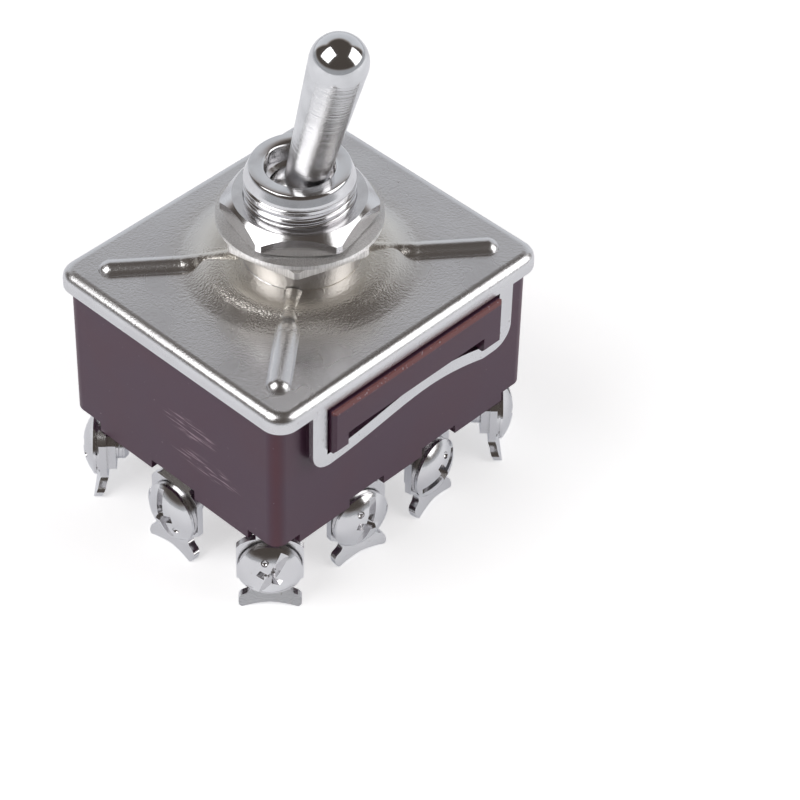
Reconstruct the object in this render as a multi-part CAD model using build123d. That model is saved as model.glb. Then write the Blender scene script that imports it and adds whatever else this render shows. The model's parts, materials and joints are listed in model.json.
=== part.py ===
from build123d import *
import os
from math import atan2, cos, degrees, hypot, radians, sin, sqrt

# Four-pole double-throw toggle switch with twelve screw terminals.
# Millimetres and degrees. +Z is up along the bushing, +X runs across the four poles,
# and the lever throws along Y. The origin is under the bushing, on the surface that
# the tips of the terminal tails stand on.

# Pressed cover
sheet = 0.6
cover_length = 40.0
cover_depth = 34.8
cover_skirt = 2.2
cover_corner_r = 2.4
cover_edge_r = 1.25
cover_top = 30.1
dome_height = 1.1
dome_top_r = 9.6
dome_foot_r = 12.8
bead_corner_x = 16.9
bead_corner_y = 13.8
bead_start_r = 5.5
bead_crown_r = 1.45
bead_rise = 0.9
bead_rise_at_dome = 1.6

# Window frame that folds down on each long side of the cover
frame_half = 15.2
frame_drop = 10.3
frame_corner_r = 2.6
window_half = 13.1
window_top_drop = 2.3
window_bottom_drop = 8.65
crimp_half = 11.6
crimp_shift = -0.8
crimp_peak_x = 4.5
crimp_rise = 1.15
crimp_depth = 0.12

# Moulded housing
cover_fit = 0.05
platform_step = 0.65
housing_corner_r = 1.5
liner_thickness = 0.3
pocket_drop = 19.5
barrier_height = 1.2
pocket_end_x = 15.85
pocket_in_x = 3.0
pocket_out_x = 8.3
pocket_row_y = 11.7
pocket_half = 3.4
floor_thickness = 2.5
end_wall = 1.2
pole_pitch = 9.5
cell_width = 7.8
platform_inset = 0.3
pad_clearance = 0.3
pad_proud = 0.85
pad_edge = 0.3
pad_notch_rise = 2.3
pad_notch_half = 10.4
pad_notch_shift = -0.4

# Bushing, nuts and washer
shoulder_r = 6.7
shoulder_height = 3.0
thread_r = 6.0
engaged_r = 5.5
thread_fit = 0.03
bushing_height = 12.9
bushing_chamfer = 0.6
bushing_chamfer_height = 1.4
spigot_r = 5.5
rivet_r = 6.6
rivet_height = 1.0
mouth_r = 3.8
throat_r = 3.3
mouth_depth = 2.3
mouth_flare = 0.2
mouth_step = 0.3
sleeve_r = 4.6
sleeve_length = 6.8
lower_nut_flats = 15.0
lower_nut_height = 1.9
washer_r = 9.05
washer_bore_r = 6.15
washer_thickness = 0.45
upper_nut_flats = 15.1
upper_nut_height = 2.6
nut_corner_r = 8.52
nut_face_inset = 0.3
nut_countersink = 0.55

# Lever
lever_tilt = 15.0
pivot_height = 8.3
lever_reach = 24.8
lever_tip_r = 3.15
lever_waist_r = 2.1
lever_ball_r = 3.7
lever_stem = 11.5
stem_start_r = 1.9
stem_end_r = 1.15
stem_ball_r = 1.7
running_fit = 0.05
pin_r = 0.8
pin_reach = 4.5

# Actuator, plungers and springs
actuator_drop = 7.4
axle_r = 2.0
axle_overhang = 3.65
barrel_r = 2.2
barrel_above = 3.2
barrel_below = 1.6
fork_width = 4.4
fork_height = 5.3
fork_tine = 1.25
fork_clearance = 0.3
fork_root = 2.2
plunger_r = 1.2
plunger_length = 3.6
plunger_side_fit = 0.06
spring_wire_r = 0.18
spring_turns = 4
socket_roof = 0.6

# Rocking contacts
rocker_swing = 7.0
rocker_thickness = 0.8
rocker_width = 4.4
rocker_reach = 10.6
rocker_pad = 1.8
button_r = 1.6
button_height = 0.6
fixed_contact_r = 1.8
fixed_contact_height = 0.8
contact_gap = 0.05
rocker_flange = 0.6
rocker_pin_r = 0.8
cradle_half = 2.7
foot_rim = 0.4

# Terminals and their screws
terminal_thickness = 0.8
strip_half = 2.2
corner_strip_half = 1.5
plate_half = 3.65
neck_half = 2.0
tail_half = 3.45
plate_top_drop = 2.5
plate_below_screw = 1.75
neck_below_screw = 3.1
bend_below_screw = 3.45
ear_top = 1.25
ear_round = 0.45
tail_hollow = 0.5
tail_out = 0.85
slot_clearance = 0.05
screw_drop = 24.75
corner_terminal_x = 17.6
corner_terminal_y = 13.3
inner_terminal_x = 5.65
inner_terminal_y = 14.5
end_terminal_x = 18.85
end_strip_x = 17.7
fan = 9.0
screw_r = 1.75
screw_hole_r = 1.85
screw_head_r = 3.55
screw_head_height = 1.6
screw_head_edge = 0.3
screw_length = 3.5
screw_washer_r = 3.4
spring_washer_r = 3.1
screw_washer_thickness = 0.2
spring_washer_gap = 0.5
nut_half = 2.5
nut_corner = 0.8
nut_thickness = 0.95
slot_width = 0.95
slot_depth = 1.05
cross_reach = 1.6
cross_foot = 0.6
cross_width = 0.9
cross_foot_width = 0.55
cross_depth = 1.35
dimple_r = 0.45
dimple_offset = 2.1
dimple_angle = 45.0

# Heights that follow from these
pivot_z = cover_top + pivot_height
actuator_z = cover_top - actuator_drop
pocket_z = cover_top - pocket_drop
floor_z = pocket_z + floor_thickness
rim_z = cover_top - sheet - liner_thickness
shoulder_z = cover_top + dome_height
lower_nut_z = shoulder_z + shoulder_height
washer_z = lower_nut_z + lower_nut_height
upper_nut_z = washer_z + washer_thickness
upper_nut_top_z = upper_nut_z + upper_nut_height
bushing_top_z = cover_top + bushing_height
screw_z = cover_top - screw_drop
foot_z = floor_z + terminal_thickness
contact_z = foot_z + fixed_contact_height
housing_length = cover_length - 2 * (sheet + cover_fit)
housing_depth = cover_depth - 2 * (sheet + cover_fit + platform_step)
platform_y = cover_depth / 2 - sheet - cover_fit
cell_length = housing_depth - 2 * end_wall
pole_xs = [(i - 1.5) * pole_pitch for i in range(4)]
axle_half = 1.5 * pole_pitch + axle_overhang

# The lower ball of the lever carries the fork round, which sets the actuator's swing
ball_y = lever_stem * sin(radians(lever_tilt))
ball_rise = pivot_z - lever_stem * cos(radians(lever_tilt)) - actuator_z
actuator_swing = degrees(atan2(ball_y, ball_rise))

# The rocker's pivot is as high as its closed button needs
button_edge = rocker_reach + button_r
rocker_under = -rocker_thickness / 2
button_face = rocker_under - button_height
swing = radians(rocker_swing)
rocker_z = contact_z + contact_gap + button_edge * sin(swing) - button_face * cos(swing)

# The plunger's nose follows an arc over the rocker, and the rocker's trough is cut to it
nose_low = rocker_pin_r + rocker_thickness + plunger_r + contact_gap
nose_arm = actuator_z - rocker_z - nose_low
turn = radians(actuator_swing)
nose_end_y = nose_arm * sin(turn)
nose_end_z = actuator_z - rocker_z - nose_arm * cos(turn)
trough_y = nose_end_y * cos(swing) - nose_end_z * sin(swing)
trough_z = nose_end_y * sin(swing) + nose_end_z * cos(swing)
trough_rise = trough_z - nose_low
nose_path_r = (trough_y ** 2 + trough_rise ** 2) / (2 * trough_rise)
trough_r = nose_path_r + plunger_r + contact_gap
trough_centre_z = nose_low + nose_path_r
trough_half = 1.8


def keep(name, shape):
    """Write one sub-part as a STEP file."""
    shape.label = name
    export_step(shape, f"parts/{name}.step")


def sheet_profile(points, thickness):
    """Closed outline of a bent strip from its centre line, with mitred bends."""
    half = thickness / 2
    sides = ([], [])
    for i, (a, b) in enumerate(points):
        before = points[max(i - 1, 0)]
        after = points[min(i + 1, len(points) - 1)]
        first = (a - before[0], b - before[1]) if i else (after[0] - a, after[1] - b)
        second = (after[0] - a, after[1] - b) if i < len(points) - 1 else first
        l1 = hypot(*first)
        l2 = hypot(*second)
        n1 = (-first[1] / l1, first[0] / l1)
        n2 = (-second[1] / l2, second[0] / l2)
        m = (n1[0] + n2[0], n1[1] + n2[1])
        scale = half * 2 / (m[0] ** 2 + m[1] ** 2)
        sides[0].append((a + m[0] * scale, b + m[1] * scale))
        sides[1].append((a - m[0] * scale, b - m[1] * scale))
    return sides[0] + sides[1][::-1]


def face_on(plane, points):
    """Straight-sided face on a plane."""
    return plane * make_face(Polyline(*points, close=True))


def turned(points):
    """Solid of revolution about Z from a radius and height outline."""
    return revolve(make_face(Plane.XZ * Polyline(*points, close=True)), Axis.Z)


def ring(outer, inner, low, high):
    """Plain ring about Z."""
    return turned([(inner, low), (outer, low), (outer, high), (inner, high)])


# Cover
def dome(top):
    """Low round boss under the bushing, with a rounded brow and foot."""
    start = (dome_top_r, top + dome_height)
    middle = ((dome_top_r + dome_foot_r) / 2, top + dome_height / 2)
    foot = (dome_foot_r, top)
    rim = Polyline(foot, (dome_foot_r, top - sheet / 2), (0, top - sheet / 2), (0, start[1]), start)
    brow = TangentArc(start, middle, tangent=(1, 0))
    toe = TangentArc(foot, middle, tangent=(-1, 0))
    return revolve(Plane.XZ * make_face(rim + brow + toe), Axis.Z)


def bead(inset, angle):
    """Pressed bead with a round crown that comes down from the dome and ends near a corner."""
    crown = bead_crown_r - inset
    reach = hypot(bead_corner_x, bead_corner_y) - bead_crown_r
    axis_z = cover_top - bead_crown_r
    start = Vector(bead_start_r, 0, axis_z + bead_rise_at_dome)
    knee = Vector(dome_foot_r, 0, axis_z + bead_rise)
    end = Vector(reach, 0, axis_z + bead_rise)
    form = Pos(*knee) * Sphere(crown) + Pos(*end) * Sphere(crown)
    for first, last in ((start, knee), (knee, end)):
        run = last - first
        form += extrude(Plane(origin=first, z_dir=run) * Circle(crown), amount=run.length)
    return Rot(0, 0, angle) * form


def pressed_form(inset, low):
    """Form of the cover's top and skirt, drawn in by the sheet for the inner side."""
    top = cover_top - inset
    box = Pos(0, 0, (top + low) / 2) * Box(cover_length - 2 * inset, cover_depth - 2 * inset, top - low)
    box = fillet(box.edges().filter_by(Axis.Z), cover_corner_r - inset)
    box = fillet(box.faces().sort_by(Axis.Z)[-1].edges(), cover_edge_r - inset)
    form = box + dome(top)
    corner = degrees(atan2(bead_corner_y, bead_corner_x))
    for angle in (corner, 180 - corner, 180 + corner, -corner):
        form += bead(inset, angle)
    return form


def bowed(across, low, high, rise, peak_x):
    """Closed outline of a strip whose middle is pushed up by a lopsided bow."""
    climb = (1, 0.4 * rise / (across + peak_x))
    fall = (1, -1.5 * rise / (across - peak_x))
    upper = Spline((-across, high), (peak_x, high + rise), (across, high), tangents=[climb, fall])
    lower = Spline((-across, low), (peak_x, low + rise), (across, low), tangents=[climb, fall])
    ends = Line((across, high), (across, low)) + Line((-across, low), (-across, high))
    return make_face(upper + lower + ends)


def window_frame():
    """Window frame on the front long side, its lower bar crimped in under the pad."""
    outer_y = -cover_depth / 2
    high = cover_top - cover_edge_r
    low = cover_top - frame_drop
    plate = Pos(0, (high + low) / 2) * Rectangle(2 * frame_half, high - low)
    plate = fillet(plate.vertices().group_by(Axis.Y)[0], frame_corner_r)
    window_low = cover_top - window_bottom_drop
    window_high = cover_top - window_top_drop
    window = Pos(0, (window_low + window_high) / 2) * Rectangle(2 * window_half, window_high - window_low)
    gap = Pos(crimp_shift, (window_low + low) / 2 - 1) * Rectangle(2 * crimp_half, window_low - low + 2)
    flat = extrude(Plane.XZ.offset(-outer_y) * (plate - window - gap), amount=-sheet)
    peak = crimp_peak_x - crimp_shift
    bar_front = Plane.XZ.offset(-outer_y + 1) * bowed(crimp_half, low, window_low, crimp_rise, peak)
    bar_plan = Pos(0, 0, low - 1) * bowed(crimp_half, outer_y, outer_y + sheet, crimp_depth, peak)
    bar = extrude(bar_front, amount=-4 * sheet - 2) & extrude(bar_plan, amount=frame_drop)
    return flat + Pos(crimp_shift, 0, 0) * bar


def cover():
    """Pressed cover: top, skirt, dome, beads and two window frames in one sheet."""
    skirt_z = cover_top - cover_skirt
    shell = pressed_form(0, skirt_z) - pressed_form(sheet, skirt_z - 1)
    shell -= Pos(0, 0, shoulder_z) * Cylinder(spigot_r + running_fit, 4 * sheet)
    shell -= Pos(0, 0, shoulder_z + sheet) * Cylinder(shoulder_r + running_fit, 2 * sheet)
    frame = window_frame()
    return shell + frame + mirror(frame, about=Plane.XZ)


def liner():
    """Fibre sheet that lies between the housing's rim and the cover."""
    clear = cover_edge_r - sheet
    length = housing_length - 2 * clear
    depth = housing_depth - 2 * clear
    plan = RectangleRounded(length, depth, housing_corner_r) - Circle(dome_top_r)
    return extrude(Pos(0, 0, rim_z) * plan, amount=liner_thickness)


# Housing
def side_pad():
    """Platform and pad moulded on the front long side, with the notch for the crimped bar."""
    face_y = housing_depth / 2
    low = cover_top - frame_drop + platform_inset
    high = rim_z - cover_edge_r
    half = frame_half - platform_inset
    platform = Pos(0, (high + low) / 2) * Rectangle(2 * half, high - low)
    platform = fillet(platform.vertices().group_by(Axis.Y)[0], frame_corner_r - platform_inset)
    block = extrude(Plane.XZ.offset(face_y - 1) * platform, amount=platform_y - face_y + 1)
    pad_low = cover_top - window_bottom_drop + pad_clearance
    pad_high = cover_top - window_top_drop - pad_clearance
    pad_half = window_half - pad_clearance
    pad_face = cover_depth / 2 + pad_proud
    pad_plan = Pos(0, (pad_low + pad_high) / 2) * Rectangle(2 * pad_half, pad_high - pad_low)
    pad = extrude(Plane.XZ.offset(face_y - 1) * pad_plan, amount=pad_face - face_y + 1)
    pad = chamfer(pad.faces().sort_by(Axis.Y)[0].edges(), pad_edge)
    notch_high = cover_top - window_bottom_drop + pad_notch_rise
    notch_low = low - 1
    depth = pad_face - face_y + 1
    notch = Pos(pad_notch_shift, -face_y - depth / 2, (notch_high + notch_low) / 2)
    notch *= Box(2 * pad_notch_half, depth, notch_high - notch_low)
    return block + pad - notch


def pockets():
    """Shallow pockets round the terminals, between the moulded barriers under the floor."""
    low = pocket_z - barrier_height - 1
    height = barrier_height + 1
    half_x = housing_length / 2
    half_y = housing_depth / 2
    spans = []
    for sx in (-1, 1):
        for sy in (-1, 1):
            spans.append((sx * pocket_end_x, sx * (half_x + 1), sy * pocket_row_y, sy * (half_y + 1)))
            spans.append((sx * pocket_in_x, sx * pocket_out_x, sy * pocket_row_y, sy * (half_y + 1)))
        spans.append((sx * pocket_end_x, sx * (half_x + 1), -pocket_half, pocket_half))
        spans.append((sx * pocket_in_x, sx * pocket_out_x, -pocket_half, pocket_half))
    cut = None
    for x0, x1, y0, y1 in spans:
        box = Box(abs(x1 - x0), abs(y1 - y0), height)
        box = Pos((x0 + x1) / 2, (y0 + y1) / 2, low + height / 2) * box
        cut = box if cut is None else cut + box
    return cut


def housing():
    """Open-topped moulding with four cells, side pads, bearing notches and terminal slots."""
    low = pocket_z - barrier_height
    block = Pos(0, 0, (rim_z + low) / 2) * Box(housing_length, housing_depth, rim_z - low)
    block = fillet(block.edges().filter_by(Axis.Z), housing_corner_r)
    block = chamfer(block.faces().sort_by(Axis.Z)[-1].edges(), cover_edge_r - sheet)
    pad = side_pad()
    block += pad + mirror(pad, about=Plane.XZ)
    depth = rim_z - floor_z + 1
    for x in pole_xs:
        block -= Pos(x, 0, floor_z + depth / 2) * Box(cell_width, cell_length, depth)
    bearing_r = axle_r + running_fit
    shaft = Rot(0, 90, 0) * Cylinder(bearing_r, 2 * axle_half + 2 * running_fit)
    block -= Pos(0, 0, actuator_z) * shaft
    above = rim_z - actuator_z + 1
    slot = Pos(0, 0, actuator_z + above / 2) * Box(2 * pole_pitch + cell_width / 2, 2 * bearing_r, above)
    block -= slot
    fork_gap = fork_height + fork_tine
    window_low = actuator_z - axle_r - 0.3
    window = Box(cell_width / 2, 2 * fork_gap, rim_z - window_low + 1)
    block -= Pos(0, 0, (rim_z + window_low + 1) / 2) * window
    block -= pockets()
    for spot in terminal_spots():
        block -= terminal_slot(*spot)
    return block


def terminal_spots():
    """Name, place, facing angle, strip half-width, sideways jog and pole of each terminal."""
    spots = []
    for row, sy in (("front", -1), ("rear", 1)):
        for pole, x in enumerate(pole_xs, start=1):
            sx = -1 if x < 0 else 1
            if abs(x) > pole_pitch:
                place = (sx * corner_terminal_x, sy * corner_terminal_y, degrees(atan2(sy, sx)))
                half = corner_strip_half
            else:
                place = (sx * inner_terminal_x, sy * inner_terminal_y, sy * 90 - sx * sy * fan)
                half = strip_half
            spots.append((f"terminal_{row}_{pole}", *place, half, 0.0, x, sy))
    for pole, x in enumerate(pole_xs, start=1):
        sx = -1 if x < 0 else 1
        outer = abs(x) > pole_pitch
        place = (sx * (end_terminal_x if outer else inner_terminal_x), 0.0, 0 if sx > 0 else 180)
        jog = end_terminal_x - end_strip_x if outer else 0.0
        spots.append((f"terminal_common_{pole}", *place, strip_half, jog, x, 0))
    return spots


def placed(x, y, facing, shape):
    """Carry a shape drawn facing +Y to a terminal's place and facing."""
    return Pos(x, y, 0) * Rot(0, 0, facing - 90) * shape


def terminal_slot(name, x, y, facing, half, jog, pole_x, side):
    """Slot through the floor for one terminal's strip."""
    height = foot_z - pocket_z + 1 + slot_clearance
    box = Box(2 * (half + slot_clearance), terminal_thickness + 2 * slot_clearance, height)
    slot = placed(x, y, facing, Pos(0, -jog, pocket_z - 1 + height / 2) * box)
    return slot + foot(x, y, facing, half, jog, pole_x, side, slot_clearance)


def blade_outline(half):
    """Front outline of a terminal: strip, shoulders, plate, neck and flared tail."""
    strip_low = pocket_z - barrier_height
    plate_top = pocket_z - plate_top_drop
    plate_low = screw_z - plate_below_screw
    neck_z = screw_z - neck_below_screw
    curve_x = half + (plate_half - half) * 0.72
    curve_z = (strip_low + plate_top) / 2
    ear_in = tail_half - ear_round
    ear_mid = tail_half - 0.29 * ear_round
    right = Polyline((0, foot_z), (half, foot_z), (half, strip_low))
    right += ThreePointArc((half, strip_low), (curve_x, curve_z), (plate_half, plate_top))
    right += Polyline((plate_half, plate_top), (plate_half, plate_low), (neck_half + 0.5, neck_z + 0.5))
    right += Line((neck_half + 0.5, neck_z + 0.5), (neck_half, neck_z))
    right += Spline((neck_half, neck_z), (ear_in, ear_top), tangents=[(0, -1), (1, -0.3)])
    right += ThreePointArc((ear_in, ear_top), (ear_mid, ear_top - 0.24), (tail_half, ear_top - ear_round))
    right += Line((tail_half, ear_top - ear_round), (tail_half, ear_round))
    right += ThreePointArc((tail_half, ear_round), (ear_mid, 0.29 * ear_round), (ear_in, 0))
    right += Spline((ear_in, 0), (tail_half * 0.45, tail_hollow * 0.65), (0, tail_hollow))
    left = mirror(right, about=Plane.YZ)
    return make_face(right + left)


def foot(x, y, facing, half, jog, pole_x, side, margin):
    """Flat foot on the cell's floor, from the strip's top to the pole's contact pad."""
    strip = Rectangle(2 * (half + margin), terminal_thickness + 2 * margin)
    strip = placed(x, y, facing, Pos(0, -jog) * strip)
    length = 2 * (fixed_contact_r + foot_rim)
    width = length if side else 2 * (cradle_half + terminal_thickness)
    pad = Pos(pole_x, side * rocker_reach) * Rectangle(width + 2 * margin, length + 2 * margin)
    plan = make_hull(strip.edges() + pad.edges())
    return extrude(Pos(0, 0, floor_z) * plan, amount=terminal_thickness + margin)


def cradle_ears(pole_x):
    """Two upright ears that carry one rocker's pin."""
    ears = None
    for sx in (-1, 1):
        x = pole_x + sx * (cradle_half + terminal_thickness / 2)
        high = rocker_z + 1.6
        ear = Pos(x, 0, (foot_z + high) / 2) * Box(terminal_thickness, 4.0, high - foot_z)
        ear -= Pos(x, 0, rocker_z) * Rot(0, 90, 0) * Cylinder(rocker_pin_r + running_fit, 4)
        ears = ear if ears is None else ears + ear
    return ears


def terminal(name, x, y, facing, half, jog, pole_x, side):
    """One flat terminal: foot in the cell, strip through the floor, screw plate and bent tail."""
    bend_z = screw_z - bend_below_screw
    jog_top = pocket_z - 0.2
    jog_low = pocket_z - 1.6
    line = [(0, foot_z), (0, bend_z), (tail_out, 0)]
    if jog:
        line = [(-jog, foot_z), (-jog, jog_top), (0, jog_low), (0, bend_z), (tail_out, 0)]
    tail_drop = hypot(tail_out, bend_z)
    step = (tail_out / tail_drop, -bend_z / tail_drop)
    line[-1] = (tail_out + step[0], step[1])
    side_face = face_on(Plane.YZ, sheet_profile(line, terminal_thickness))
    bent = extrude(side_face, amount=plate_half + 1, both=True)
    front = extrude(Plane.XZ * blade_outline(half), amount=4, both=True)
    hole = Pos(0, 0, screw_z) * Rot(90, 0, 0) * Cylinder(screw_hole_r, 4)
    blade = placed(x, y, facing, (bent & front) - hole)
    piece = blade + foot(x, y, facing, half, jog, pole_x, side, 0)
    if not side:
        piece += cradle_ears(pole_x)
    return piece


def terminal_screw(turn_angle):
    """Dome-headed screw, seated on its washer, facing +Y, with a slot and a cross."""
    outline = Polyline((0, 0), (screw_head_r, 0), (screw_head_r, screw_head_edge))
    crown = screw_head_height - screw_head_edge
    dome_r = (screw_head_r ** 2 + crown ** 2) / (2 * crown)
    mid_r = screw_head_r * 0.55
    mid_z = screw_head_height - dome_r + sqrt(dome_r ** 2 - mid_r ** 2)
    outline += ThreePointArc((screw_head_r, screw_head_edge), (mid_r, mid_z), (0, screw_head_height))
    outline += Line((0, screw_head_height), (0, 0))
    head = revolve(Plane.XZ * make_face(outline), Axis.Z)
    tip = 0.4
    shank = [(0, 0.1), (screw_r, 0.1), (screw_r, tip - screw_length), (screw_r - tip, -screw_length)]
    shank = turned(shank + [(0, -screw_length)])
    slot = Pos(0, 0, screw_head_height - slot_depth + 1) * Box(2 * screw_head_r + 1, slot_width, 2)
    foot_z = screw_head_height - cross_depth
    dimple_z = screw_head_height - dimple_offset ** 2 / (2 * dome_r) + 0.1
    recess = slot + Rot(0, 0, dimple_angle) * Pos(dimple_offset, 0, dimple_z) * Sphere(dimple_r)
    for arm in (0, 90):
        wide = Pos(0, 0, screw_head_height) * Rectangle(2 * cross_reach, cross_width)
        narrow = Pos(0, 0, foot_z) * Rectangle(2 * cross_foot, cross_foot_width)
        recess += Rot(0, 0, arm) * loft([wide, narrow])
    screw = head + shank - recess
    under = terminal_thickness / 2 + 2 * screw_washer_thickness
    return Pos(0, under, screw_z) * Rot(-90, 0, 0) * Rot(0, 0, turn_angle) * screw


def screw_washers(turn_angle):
    """Flat washer and split spring washer under a screw head."""
    flat = ring(screw_washer_r, screw_hole_r, 0, screw_washer_thickness)
    spring = ring(spring_washer_r, screw_hole_r, screw_washer_thickness, 2 * screw_washer_thickness)
    split = Pos(spring_washer_r, 0, 0) * Box(2 * spring_washer_r, spring_washer_gap, 2)
    spring -= Rot(0, 0, turn_angle) * split
    stack = Rot(-90, 0, 0) * Compound(children=[flat, spring])
    return Pos(0, terminal_thickness / 2, screw_z) * stack


def terminal_nut():
    """Square nut with cut corners behind a terminal plate."""
    plan = Rectangle(2 * nut_half, 2 * nut_half)
    plan = chamfer(plan.vertices(), nut_corner) - Circle(screw_r + running_fit)
    body = extrude(plan, amount=-nut_thickness)
    return Pos(0, -terminal_thickness / 2, screw_z) * Rot(-90, 0, 0) * body


# Bushing and what it carries
def bushing():
    """Turned bushing: riveted spigot, shoulder, threaded barrel, ball seat and pin notches."""
    seat_r = lever_ball_r + running_fit
    throat_z = pivot_z + sqrt(seat_r ** 2 - throat_r ** 2)
    mouth_z = bushing_top_z - mouth_depth
    rivet_z = cover_top + dome_height - sheet
    rivet_low = rivet_z - rivet_height
    outline = [(0, rivet_low), (rivet_r, rivet_low), (rivet_r, rivet_z), (spigot_r, rivet_z)]
    outline += [(spigot_r, shoulder_z), (shoulder_r, shoulder_z), (shoulder_r, lower_nut_z)]
    outline += [(engaged_r, lower_nut_z), (engaged_r, upper_nut_top_z), (thread_r, upper_nut_top_z)]
    outline += [(thread_r, bushing_top_z - bushing_chamfer_height)]
    outline += [(thread_r - bushing_chamfer, bushing_top_z)]
    outline += [(0, bushing_top_z)]
    body = turned(outline)
    flare_r = mouth_r + mouth_flare
    bore = [(0, bushing_top_z + 1), (flare_r, bushing_top_z + 1), (flare_r, bushing_top_z)]
    bore += [(mouth_r, bushing_top_z - mouth_flare), (mouth_r, mouth_z), (throat_r, mouth_z - mouth_step)]
    bore += [(throat_r, throat_z), (throat_r, pivot_z), (0, pivot_z)]
    body -= turned(bore)
    body -= Pos(0, 0, pivot_z) * Sphere(seat_r)
    low = rivet_low - 1
    body -= Pos(0, 0, (low + pivot_z) / 2) * Cylinder(sleeve_r, pivot_z - low)
    body -= pin_path(running_fit)
    return body


def pin_path(clearance):
    """Space for the pivot pin, along X through the ball's centre."""
    return Pos(0, 0, pivot_z) * Rot(0, 90, 0) * Cylinder(pin_r + clearance, 2 * (pin_reach + clearance))


def retainer_sleeve():
    """Sleeve pressed into the bushing from below, which holds the pin up in its notches."""
    top_z = pivot_z - running_fit
    sleeve = ring(sleeve_r, lever_ball_r + running_fit, top_z - sleeve_length, top_z)
    return sleeve - pin_path(running_fit)


def pivot_pin():
    """Steel pin that the lever turns on."""
    return pin_path(0)


def hex_nut(flats, low, height, turn_angle, top_slope, low_slope):
    """Hexagonal nut with turned-off corners, chamfered by a cone above and one below."""
    plan = RegularPolygon(flats / 2, 6, major_radius=False)
    body = Rot(0, 0, turn_angle) * extrude(Pos(0, 0, low) * plan, amount=height)
    face_r = flats / 2 - nut_face_inset
    rise = nut_corner_r - face_r
    high = low + height
    limit = [(0, low), (face_r, low), (nut_corner_r, low + low_slope * rise)]
    limit += [(nut_corner_r, high - top_slope * rise), (face_r, high), (0, high)]
    body &= turned(limit)
    bore_r = engaged_r + thread_fit
    sink_r = bore_r + nut_countersink
    body -= Pos(0, 0, low) * Cylinder(bore_r, 4 * height)
    for face_z, deep_z in ((high, high - nut_countersink), (low, low + nut_countersink)):
        body -= turned([(0, deep_z), (bore_r, deep_z), (sink_r, face_z), (0, face_z)])
    return body


def lever():
    """Bat lever: rounded tip, tapered handle, pivot ball, stem and lower ball."""
    tip_z = lever_reach - lever_tip_r
    lean = (lever_tip_r - lever_waist_r) / tip_z
    handle = turned([(0, 0), (lever_waist_r, 0), (lever_tip_r, tip_z), (0, tip_z)])
    handle += Pos(0, 0, tip_z) * Sphere(lever_tip_r)
    ball = Sphere(lever_ball_r)
    stem = turned([(0, 0), (stem_start_r, 0), (stem_end_r, -lever_stem), (0, -lever_stem)])
    piece = handle + ball + stem + Pos(0, 0, -lever_stem) * Sphere(stem_ball_r)
    piece -= Rot(0, 90, 0) * Cylinder(pin_r + running_fit, 4 * lever_ball_r)
    return Pos(0, 0, pivot_z) * Rot(lever_tilt, 0, 0) * piece


# Switching mechanism
def at_actuator(shape):
    """Carry a shape drawn about the actuator's axis to its rest angle."""
    return Pos(0, 0, actuator_z) * Rot(-actuator_swing, 0, 0) * shape


def actuator():
    """Rocking carrier: axle, a spring barrel over each pole and the fork for the lever."""
    body = Rot(0, 90, 0) * Cylinder(axle_r, 2 * axle_half)
    slot_half = stem_ball_r + fork_clearance
    fork_half = slot_half + fork_tine
    body += Pos(0, 0, fork_height / 2) * Box(fork_width, 2 * fork_half, fork_height)
    cut = fork_height - fork_root
    body -= Pos(0, 0, fork_root + cut / 2 + 0.5) * Box(fork_width + 1, 2 * slot_half, cut + 1)
    length = barrel_above + barrel_below
    socket = barrel_above - socket_roof + barrel_below
    for x in pole_xs:
        body += Pos(x, 0, length / 2 - barrel_below) * Cylinder(barrel_r, length)
    socket_r = plunger_r + plunger_side_fit
    for x in pole_xs:
        body -= Pos(x, 0, socket / 2 - barrel_below - 0.5) * Cylinder(socket_r, socket + 1)
    return at_actuator(body)


def plunger(x):
    """Round-nosed plunger that bears on one rocker."""
    nose = Pos(0, 0, -nose_arm) * Sphere(plunger_r)
    stem = plunger_length - plunger_r
    shank = Pos(0, 0, stem / 2 - nose_arm) * Cylinder(plunger_r, stem)
    return at_actuator(Pos(x, 0, 0) * (nose + shank))


def plunger_spring(x):
    """Coil spring between the plunger and the roof of its socket."""
    low = plunger_length - plunger_r - nose_arm
    high = barrel_above - socket_roof
    free = high - low - 2 * spring_wire_r
    coil_r = plunger_r - spring_wire_r - plunger_side_fit
    path = Helix(pitch=free / spring_turns, height=free, radius=coil_r)
    wire = Plane(origin=path @ 0, z_dir=path % 0) * Circle(spring_wire_r)
    coil = sweep(wire, path=path, is_frenet=True)
    return at_actuator(Pos(x, 0, low + spring_wire_r) * coil)


def axle_keepers():
    """Blocks over the axle, in the notches of the two outer partitions."""
    wall = pole_pitch - cell_width
    width = 2 * axle_r
    blocks = []
    for x in (-pole_pitch, pole_pitch):
        height = rim_z - actuator_z
        block = Pos(x, 0, actuator_z + height / 2) * Box(wall, width, height)
        block -= Pos(x, 0, actuator_z) * Rot(0, 90, 0) * Cylinder(axle_r + running_fit, 2 * wall)
        blocks.append(block)
    return Compound(children=blocks)


def at_rocker(x, shape):
    """Carry a shape drawn about a rocker's pin to its rest angle."""
    return Pos(x, 0, rocker_z) * Rot(rocker_swing, 0, 0) * shape


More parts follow.
